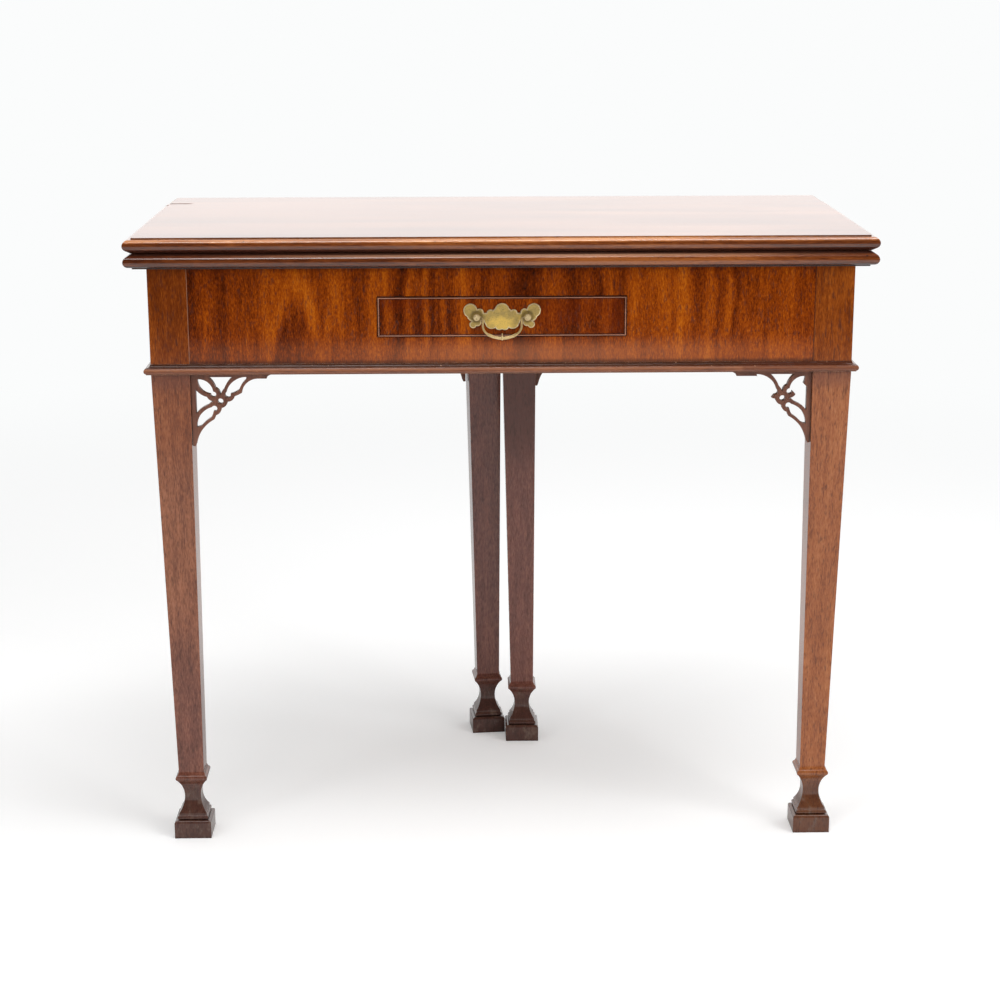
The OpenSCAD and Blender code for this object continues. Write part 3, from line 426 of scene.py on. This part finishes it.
def figure(f, bands):
    """How light the figured veneer is, about 0.5 on the whole."""
    x, _, z = f.xyz()
    sway = f.noise((6, 6, 16), 2.0, 0.5)
    place = x * 1000 + (sway - 0.5) * SWAY
    strength = z.between(*PUSH_Z) * PUSH + PUSH
    pushed = 0
    for centre, width, push in bands:
        pushed = f.pulse(place, centre, width) * push + pushed
    beside = place - ARCH_AT
    below = z * -1000 + ARCH_TOP
    curve = beside * beside - below * ARCH_SPREAD
    near = f.pulse(beside, 0, ARCH_HALF)
    level = f.level(0.3, 0.42, 0.75) + pushed * strength
    return level - curve.between(*ARCH_INSIDE) * near * 0.11 + f.pulse(curve, *ARCH_RIM) * near * 0.17


VENEER = [(0.16, paint(48, 15, 3)), (0.36, paint(92, 34, 4)), (0.52, paint(134, 56, 6)),
          (0.68, paint(168, 80, 10)), (0.86, paint(196, 106, 20))]
FLOOR_REFLECTION_TINT = paint(186, 122, 88)
FLOOR_REFLECTION_Z = (0.618, 0.596)  # below here the veneer is painted paler: a painted reflection of the bright floor
JOINT = 356.5  # the frieze meets the legs here, in millimetres from the middle
SHADED_CORNER_Z = (0.5895, 0.585)  # painted shade, in the dark wax colour, fills the corner above the moulding


def frieze_finish():
    f = Wood("figured frieze", "Z", 45, fleck=4, streak=9)
    x, _, z = f.xyz()
    low = z.between(*FLOOR_REFLECTION_Z)
    # Low on the frieze the veneer is lightened and tinted pale, a painted reflection of the bright floor.
    wood = f.ramp(figure(f, FRIEZE_BANDS) + low * x.between(-0.24, 0.05) * 0.07, VENEER)
    wood = f.mix(f.pores * 0.45, wood, paint(58, 20, 6))
    wood = f.mix(low * (f.pulse(x, 0.04, 0.30) * 0.25 + 0.10), wood, FLOOR_REFLECTION_TINT)
    wood = f.mix(f.pulse(x * 1000, -JOINT, 1.2) * 0.6, wood, paint(190, 140, 110))
    wood = f.mix(f.pulse(x * 1000, JOINT, 1.8) * 0.85, wood, DARK_WAX_AND_SHADE)
    # Painted shade in the corner above the moulding.
    wood = f.mix(z.between(*SHADED_CORNER_Z) * 0.55, wood, DARK_WAX_AND_SHADE)
    return f.polish(shade_and_grime(f, wood, 0.014, 0.85), 0.07, 0.03, 0.000006)


def drawer_finish():
    f = Wood("figured drawer front", "Z", 45, (0.2, 0, 0.7), fleck=4, streak=9)
    wood = f.ramp(figure(f, DRAWER_BANDS) - 0.05, VENEER)
    wood = f.mix(f.pores * 0.45, wood, paint(44, 14, 4))
    wood = f.mix(f.noise((18, 18, 30), 2.0, 0.5).between(0.45, 0.65) * 0.3, wood, paint(112, 36, 6))
    return f.polish(shade_and_grime(f, wood, 0.010, 0.85), 0.07, 0.03, 0.000006)


frieze_wood = frieze_finish()
drawer_wood = drawer_finish()
print("bands on the frieze:", len(FRIEZE_BANDS), "and on the drawer:", len(DRAWER_BANDS))

# %% [markdown]
# The top. Light falls along it, so it shows almost white with a rosy tint, and its grain runs from end to end.
# Its moulded edges face the room and show the colour of the wood, with light and shade painted over it: a golden
# painted highlight along the upper roll, a weaker painted highlight and a pale painted glint on the lower roll, and
# painted shade, nearly black, in the groove between the two leaves and on the lower edge. The groove is found by its
# height, but only outside the flat faces where the leaves meet, so that these stay unpainted when the table is
# opened. At the left end a short dark crack, which doesn't shine, marks where a strap of the hinge ends.

# %% The top and its edges
FLAT_EDGE_X = 0.4145  # the leaves are flat up to here, and their moulding lies outside it
FLAT_EDGE_Y = -0.1984
EDGE_SOFT = (0.0, 0.002)
# Heights of the painted highlights on the rolls of the two leaves, and of the painted shade below.
UPPER_HIGHLIGHT_Z = (0.7238, 0.7262)
LOWER_HIGHLIGHT_Z = ((0.7064, 0.7084), (0.7124, 0.7120))
LOWER_SHINE_Z = ((0.7078, 0.7090), (0.7124, 0.7120))
TOP_LINE_Z = ((0.7288, 0.7296), (0.73005, 0.7299))
SHADED_GROOVE_Z = ((0.7100, 0.7108), (0.7178, 0.7162))
SHADED_UNDERSIDE_Z = (0.6996, 0.6980)
CRACK_Y, CRACK_HALF = 132, 6.5  # millimetres
CRACK_X = (-0.384, -0.392)
CRACK_Z = (0.722, 0.728)


def top_finish():
    f = Wood("polished top", "X", 14, fleck=14, streak=24)
    x, y, z = f.xyz()
    wood = f.tones(f.level(0.5, 0.55, 0.1), (92, 52, 34), (134, 82, 56), (164, 110, 80), 0.2)
    wood = f.mix(f.pores * 0.12, wood, paint(84, 42, 26))
    front = (y * -1 + FLAT_EDGE_Y).between(*EDGE_SOFT)
    outside = (x.math("ABSOLUTE") - FLAT_EDGE_X).between(*EDGE_SOFT).math("MAXIMUM", front)
    streaky = f.level(0.8, 0.9, 0.6)
    shade = f.tones(streaky, (72, 30, 8), (112, 54, 16), (150, 84, 36), 0.2)
    gold_highlight = f.tones(streaky, (128, 72, 36), (176, 104, 48), (208, 140, 80), 0.2)
    rust = f.tones(streaky, (92, 40, 16), (140, 74, 34), (180, 112, 66), 0.2)
    # A golden painted highlight along the upper roll, strongest on the front.
    edge = f.mix(z.between(*UPPER_HIGHLIGHT_Z) * (front * 0.75 + 0.25), shade, gold_highlight)
    # A weaker painted highlight, rust-coloured, on the lower roll.
    edge = f.mix(f.layer(z, *LOWER_HIGHLIGHT_Z), edge, rust)
    middle = f.pulse(x, 0.03, 0.42) * front
    # A pale painted highlight at the top of the lower roll, in the middle of the front.
    edge = f.mix(f.layer(z, *LOWER_SHINE_Z) * middle * 0.8, edge, paint(228, 172, 138))
    pits = f.noise((300, 300, 700), 2.0, 0.6).between(0.64, 0.72)
    edge = f.mix(pits * 0.7, edge, DARK_WAX_AND_SHADE)
    edge = f.mix(f.layer(z, *TOP_LINE_Z) * 0.8, edge, paint(80, 46, 32))
    # Painted shade, nearly black, in the groove between the two leaves.
    edge = f.mix(f.layer(z, *SHADED_GROOVE_Z) * 0.92, edge, paint(72, 38, 28))
    # Painted shade on the lower edge of the bottom leaf, which faces away from the light.
    edge = f.mix(z.between(*SHADED_UNDERSIDE_Z) * 0.9, edge, paint(50, 28, 23))
    wood = f.mix(outside, wood, edge)
    crack = f.pulse(y * 1000, CRACK_Y, CRACK_HALF) * x.between(*CRACK_X) * z.between(*CRACK_Z)
    wood = f.mix(crack * 0.95, wood, DARK_WAX_AND_SHADE)
    return f.polish(shade_and_grime(f, wood, 0.010, 0.5), crack * 0.6 + 0.15, 0.02, 0.000001, 1.7, 0.0012, 0.0)


top_wood = top_finish()
print("finish:", top_wood.name)

# %% [markdown]
# Legs and gate rails. The front legs are of plain straight wood, a little redder in streaks, and darken towards the
# feet, where dust and boot black have gathered. Their upper blocks belong to the front, so above the moulding they
# take its orange polish. The gate legs stand behind in shade and were never polished as much. Down its shaft the
# left front leg is painted paler and greyer, a painted reflection of the white floor.

# %% Legs and rails
RIGHT_X = (-0.1, 0.1)  # from the left legs to the right ones
REAR_Y = (0.02, 0.06)  # from the front legs to the gate legs
BLOCK_Z = (0.572, 0.577)
SHADE_Z = (0.545, 0.565)  # the moulding and the brackets shade the legs here
LEFT_SHEEN_Z = (0.52, 0.42)
LOWER_Z = (0.35, 0.15)
GATE_RED_Z = (0.36, 0.44)
FEET_Z = (0.090, 0.050)


def leg_finish():
    f = Wood("leg mahogany", "Z", 26, fleck=6)
    x, y, z = f.xyz()
    level = f.level(0.45, 0.45, 0.7)
    left = f.tones(level, (82, 36, 16), (126, 66, 34), (160, 96, 58))
    pale = f.tones(level, (92, 46, 28), (140, 84, 56), (170, 110, 78))
    right = f.tones(level, (96, 44, 20), (150, 84, 44), (178, 112, 66))
    lower = f.tones(level, (70, 38, 32), (120, 72, 57), (154, 100, 78))
    # Lower down, the left leg's shaft is painted paler: a painted reflection of the white floor.
    left = f.mix(z.between(*LEFT_SHEEN_Z), left, pale)
    right_side = x.between(*RIGHT_X)
    # On its lower shaft the left leg is painted greyer, a painted reflection of the white floor.
    wood = f.mix(z.between(*LOWER_Z) * (1 - right_side), f.mix(right_side, left, right), lower)
    wood = f.mix(z.between(*SHADE_Z) * 0.4, wood, paint(92, 52, 46))
    behind = f.tones(level, (72, 38, 32), (112, 67, 56), (142, 90, 74))
    behind = f.mix(z.between(*GATE_RED_Z) * x.between(0.0, 0.01) * 0.8, behind, paint(82, 42, 30))
    rear = y.between(*REAR_Y)
    wood = f.mix(rear, wood, behind)
    block = f.tones(x.between(0.3, 0.38) * 0.07 + level + 0.01, (62, 22, 5), (120, 54, 12), (168, 88, 26), 0.3)
    upper = z.between(*BLOCK_Z) * (1 - rear)
    wood = f.mix(upper, wood, block)
    wood = f.mix(f.pores * 0.5, wood, paint(62, 30, 18))
    wood = f.mix(1 - upper, wood, rubbed_and_highlit(f, wood, 0.001, 0.5))
    low = z.between(*FEET_Z)
    scuffs = f.noise((120, 120, 60), 4.0, 0.65)
    wood = f.mix(low * 0.7, wood, paint(54, 38, 33))
    wood = f.mix(low * scuffs.between(0.5, 0.75) * 0.7, wood, DUST)
    return f.polish(shade_and_grime(f, wood, 0.010), 0.10 - upper * 0.03, 0.06, 0.00001, 1.5, 0.001, 0.08)


def rail_finish():
    f = Wood("gate rail mahogany", "X", 20)
    wood = f.tones(f.level(), (62, 32, 28), (100, 58, 44), (132, 82, 62))
    wood = f.mix(f.pores * 0.5, wood, paint(48, 26, 20))
    return f.polish(shade_and_grime(f, wood), 0.34, 0.12, 0.00004)


leg_wood = leg_finish()
rail_wood = rail_finish()
print("legs:", leg_wood.name, "and", rail_wood.name)

# %% [markdown]
# The lower moulding. It is a round with a small hollow above it. The hollow is darkened with painted shade, the
# round has a painted highlight along its nose and a paler painted reflection of the floor on its lower lip, its
# edges are rubbed pale, and small chips show bare wood. A length at the right end of the front is darker than the
# rest, as a repair would be.

# %% The lower moulding
STRIP_Z = (0.590, 0.586)
SHADED_HOLLOW_Z = (0.5790, 0.5808)
NOSE_HIGHLIGHT_Z, NOSE_HIGHLIGHT_HALF = 578.2, 1.6  # millimetres
LIP_REFLECTION_Z = (0.5752, 0.5738)
FRONT_Y = (-0.170, -0.184)
REPAIR_X = (0.272, 0.277)


def moulding_finish():
    f = Wood("moulding mahogany", "X", 24, (3.1, 0, 0))
    x, y, z = f.xyz()
    wood = f.tones(f.level(0.5, 0.6, 0.6), (96, 48, 28), (150, 90, 56), (190, 124, 82))
    wood = f.mix(f.pores * 0.5, wood, paint(60, 30, 20))
    strip = z.between(*STRIP_Z)
    wood = f.mix(strip * 0.45, wood, paint(104, 54, 34))
    # Painted shade in the hollow above the round.
    wood = f.mix(z.between(*SHADED_HOLLOW_Z) * strip * 0.8, wood, paint(46, 22, 14))
    # A painted highlight along the nose of the round.
    wood = f.mix(f.pulse(z * 1000, NOSE_HIGHLIGHT_Z, NOSE_HIGHLIGHT_HALF) * 0.5, wood, paint(186, 132, 102))
    # A paler painted reflection of the floor on the lower lip.
    wood = f.mix(z.between(*LIP_REFLECTION_Z) * 0.4, wood, paint(150, 110, 92))
    front = y.between(*FRONT_Y)
    wood = f.mix(x.between(*REPAIR_X) * front * 0.45, wood, paint(96, 48, 30))
    chips = f.noise((210, 210, 210), 3.0, 0.6).between(0.7, 0.74)
    wood = f.mix(chips * 0.7, wood, paint(208, 158, 124))
    wood = rubbed_and_highlit(f, wood, 0.0009, 0.6, paint(214, 156, 120))
    return f.polish(shade_and_grime(f, wood, 0.007, 0.9), 0.18, 0.1, 0.00002, 1.5, 0.0009)


moulding_wood = moulding_finish()
print("finish:", moulding_wood.name)

# %% [markdown]
# Beads, brackets and pine. The thin cock beads round the drawer are dark in their corners, with wax and painted
# shade, and rubbed pale on the crown. The crown is the part that faces forward, so the direction of the surface
# finds it. The brackets are dull, since no cloth gets between their bars, and what is inside the table is bare pine.

# %% Beads, brackets and pine
CROWN_Y = (-0.90, -0.985)  # how far forward the surface faces, from the side of a bead to its crown


def bead_finish():
    f = Wood("cock bead mahogany", "X", 24, (3.1, 0, 0))
    forward = f.add("ShaderNodeSeparateXYZ", None, {0: f.facing()}, out="Y")
    wood = f.tones(f.level(0.5, 0.6, 0.6), (52, 22, 12), (82, 40, 24), (112, 60, 38))
    worn = f.ramp(f.streaks, [(0.3, paint(136, 88, 66)), (0.7, paint(196, 140, 112))])
    wood = f.mix(forward.between(*CROWN_Y), wood, worn)
    return f.polish(shade_and_grime(f, wood, 0.005, 0.9), 0.2, 0.1, 0.00001, 1.5, 0.0004)


def bracket_finish():
    f = Wood("bracket mahogany", "Z", 30, (0, 0, 1.3))
    wood = f.tones(f.level(), (76, 40, 30), (118, 74, 56), (150, 100, 76))
    wood = rubbed_and_highlit(f, wood, 0.0006, 0.35)
    return f.polish(shade_and_grime(f, wood, 0.006, 0.6), 0.3, 0.12, 0.00003)


def pine_finish():
    f = Wood("bare pine", "Y", 20)
    wood = f.tones(f.level(), (150, 104, 62), (190, 146, 96), (214, 176, 126))
    return f.polish(shade_and_grime(f, wood), 0.55, 0.1, 0.00005)


bead_wood = bead_finish()
bracket_wood = bracket_finish()
pine_wood = pine_finish()
print("finishes:", bead_wood.name, "/", bracket_wood.name, "/", pine_wood.name)

# %% [markdown]
# Brass and iron. Old brass is bright only where hands and polish reach it, and its hollows are olive, with painted
# shade in them as well. A slow noise moves the colour between the two, the Bevel node finds the edges, which are
# painted pale as rubbed wear and as a painted highlight, and dark specks are what the polish left behind. A dark
# ring round each post is a painted shadow of the post. Tarnish is a dull skin, so the metal isn't fully metallic.

# %% Metals
POST_X, POST_Z = 0.029, 0.6373
POST_SHADOW_RING = (0.0056, 0.0030)  # a painted shadow: the ring's distance from the middle of the post, and half its width
BELLY_Z = (0.6420, 0.6310)  # the lower middle of the back plate is the part that hands keep bright
BELLY_HALF = 26  # millimetres


def brass_finish(name, dull, bright, rubbed_and_highlit_amount):
    f = Finish(name)
    x, _, z = f.xyz()
    stain = f.noise((150, 150, 150), 4.0, 0.6)
    specks = f.noise((1300, 1300, 1300), 2.0, 0.6)
    belly = z.between(*BELLY_Z) * f.pulse(x * 1000, 0, BELLY_HALF)
    worn = (stain.between(0.3, 0.7) * 0.45 + belly * 0.75).between(0.0, 1.0)
    colour = f.mix(worn, dull, bright)
    across = x.math("ABSOLUTE") - POST_X
    up = z - POST_Z
    from_post = (across * across + up * up).math("SQRT")
    # A painted shadow ring round each post.
    colour = f.mix(f.pulse(from_post, *POST_SHADOW_RING) * 0.6, colour, paint(66, 50, 26))
    mottle = f.noise((520, 520, 520), 3.0, 0.65)
    colour = f.mix(mottle.between(0.50, 0.68) * (1 - worn * 0.6) * 0.5, colour, paint(112, 90, 44))
    colour = f.mix(specks.between(0.55, 0.75) * 0.4, colour, paint(104, 82, 40))
    # Pale edges: rubbed wear together with a painted highlight of the light on them.
    colour = rubbed_and_highlit(f, colour, 0.0009, rubbed_and_highlit_amount, paint(250, 232, 190))
    return f.surface({
        # Ambient occlusion darkens the hollows: olive tarnish together with painted shade.
        "Base Color": shade_and_grime(f, colour, 0.006, 0.85, paint(46, 34, 18)), "Metallic": 0.4,
        "Roughness": 0.40 - worn * 0.12, "Normal": f.bump(specks, 0.00001, f.rounded(0.0009)),
    })


def iron_finish():
    f = Finish("dull iron")
    rust = f.noise((300, 300, 300), 4.0, 0.6)
    colour = f.mix(rust.between(0.45, 0.7), paint(92, 88, 84), paint(104, 64, 40))
    return f.surface({"Base Color": colour, "Metallic": 0.8, "Roughness": rust * 0.3 + 0.4})


brass = brass_finish("aged brass", paint(184, 156, 92), paint(248, 208, 106), 0.5)
# The filed band and the posts are painted pale, partly as a painted highlight of the light on the bevel and the
# domes.
filed_brass_highlit = brass_finish("filed and highlit brass", paint(222, 196, 146), paint(246, 226, 178), 0.0)
# The bail is painted pale, with paler edges, partly as a painted highlight along its ridge.
bail_brass_highlit = brass_finish("handled and highlit brass", paint(184, 156, 104), paint(236, 206, 148), 0.9)
iron = iron_finish()
print("metals:", brass.name, "and", iron.name)

# %% [markdown]
# The back plate of the handle. On the real plate a filed bevel runs all round the outline, and it is the part that
# shines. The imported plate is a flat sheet, so we work on a copy. Its loose triangles are merged, the front is
# inset to leave a narrow band along the outline, and the outer side of the band is pushed back.

# %% File the edge of the plate
RIM_WIDTH = 0.0013
RIM_DEPTH = 0.0007
POST_CLEAR = 0.006  # the band round each post's hole is left as it was
SAME_POINT = 0.000001


def file_plate(packed):
    bm = bmesh.new()
    bm.from_mesh(packed.data)
    bmesh.ops.remove_doubles(bm, verts=bm.verts, dist=SAME_POINT)
    front = [face for face in bm.faces if face.normal.y < -0.99]
    band = bmesh.ops.inset_region(bm, faces=front, thickness=RIM_WIDTH, use_even_offset=True)["faces"]
    inner = {vert for face in front for vert in face.verts}
    outer = set()
    for face in band:
        place = face.calc_center_median()
        if math.hypot(abs(place.x) - POST_X, place.z - POST_Z) > POST_CLEAR:
            face.material_index = 1
            outer.update(vert for vert in face.verts if vert not in inner)
    bmesh.ops.translate(bm, verts=list(outer), vec=(0, RIM_DEPTH, 0))
    mesh = bpy.data.meshes.new("handle_plate_filed")
    bm.to_mesh(mesh)
    bm.free()
    piece = bpy.data.objects.new("handle_plate_filed", mesh)
    bpy.context.collection.objects.link(piece)
    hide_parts("handle_plate")
    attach(piece, "drawer")
    mesh.materials.append(brass)
    # The band takes the paler brass, partly a painted highlight of the light on the bevel.
    mesh.materials.append(filed_brass_highlit)
    print("faces in the filed band:", len(band))


file_plate(nodes["handle_plate"])

# %% [markdown]
# Dressing. The imported record gives each piece a material slot, and most slots have one finish. A few pieces differ
# from their slot: the drawer front has its own cut of veneer, the gate rails run lengthwise, the brackets and beads
# have finishes of their own, and the posts and the bail are painted brighter than the plate behind them, partly as a
# painted highlight.

# %% Dress the pieces
SLOT_FINISH = {"top_mahogany": top_wood, "frieze_mahogany": frieze_wood, "leg_mahogany": leg_wood,
               "trim_mahogany": moulding_wood, "pine": pine_wood, "brass": brass, "iron": iron}
PIECE_FINISH = {"drawer_front": drawer_wood, "drawer_beads": bead_wood, "fly_rail": rail_wood,
                "bracket": bracket_wood, "handle_posts": filed_brass_highlit, "bail": bail_brass_highlit}
node_slot = {row["node"]: row["material_slot"] for row in frame["record"]["subparts"]}
for name, piece in nodes.items():
    finish = SLOT_FINISH[node_slot[name]]
    for start, own in PIECE_FINISH.items():
        if name.startswith(start):
            finish = own
    piece.data.materials.clear()
    piece.data.materials.append(finish)
print("dressed:", len(nodes))

# %% [markdown]
# Sizes. Dressing must not change the table's size. Here only the view transform is set, to Standard.

# %% Set the view transform
bpy.context.scene.view_settings.view_transform = "Standard"
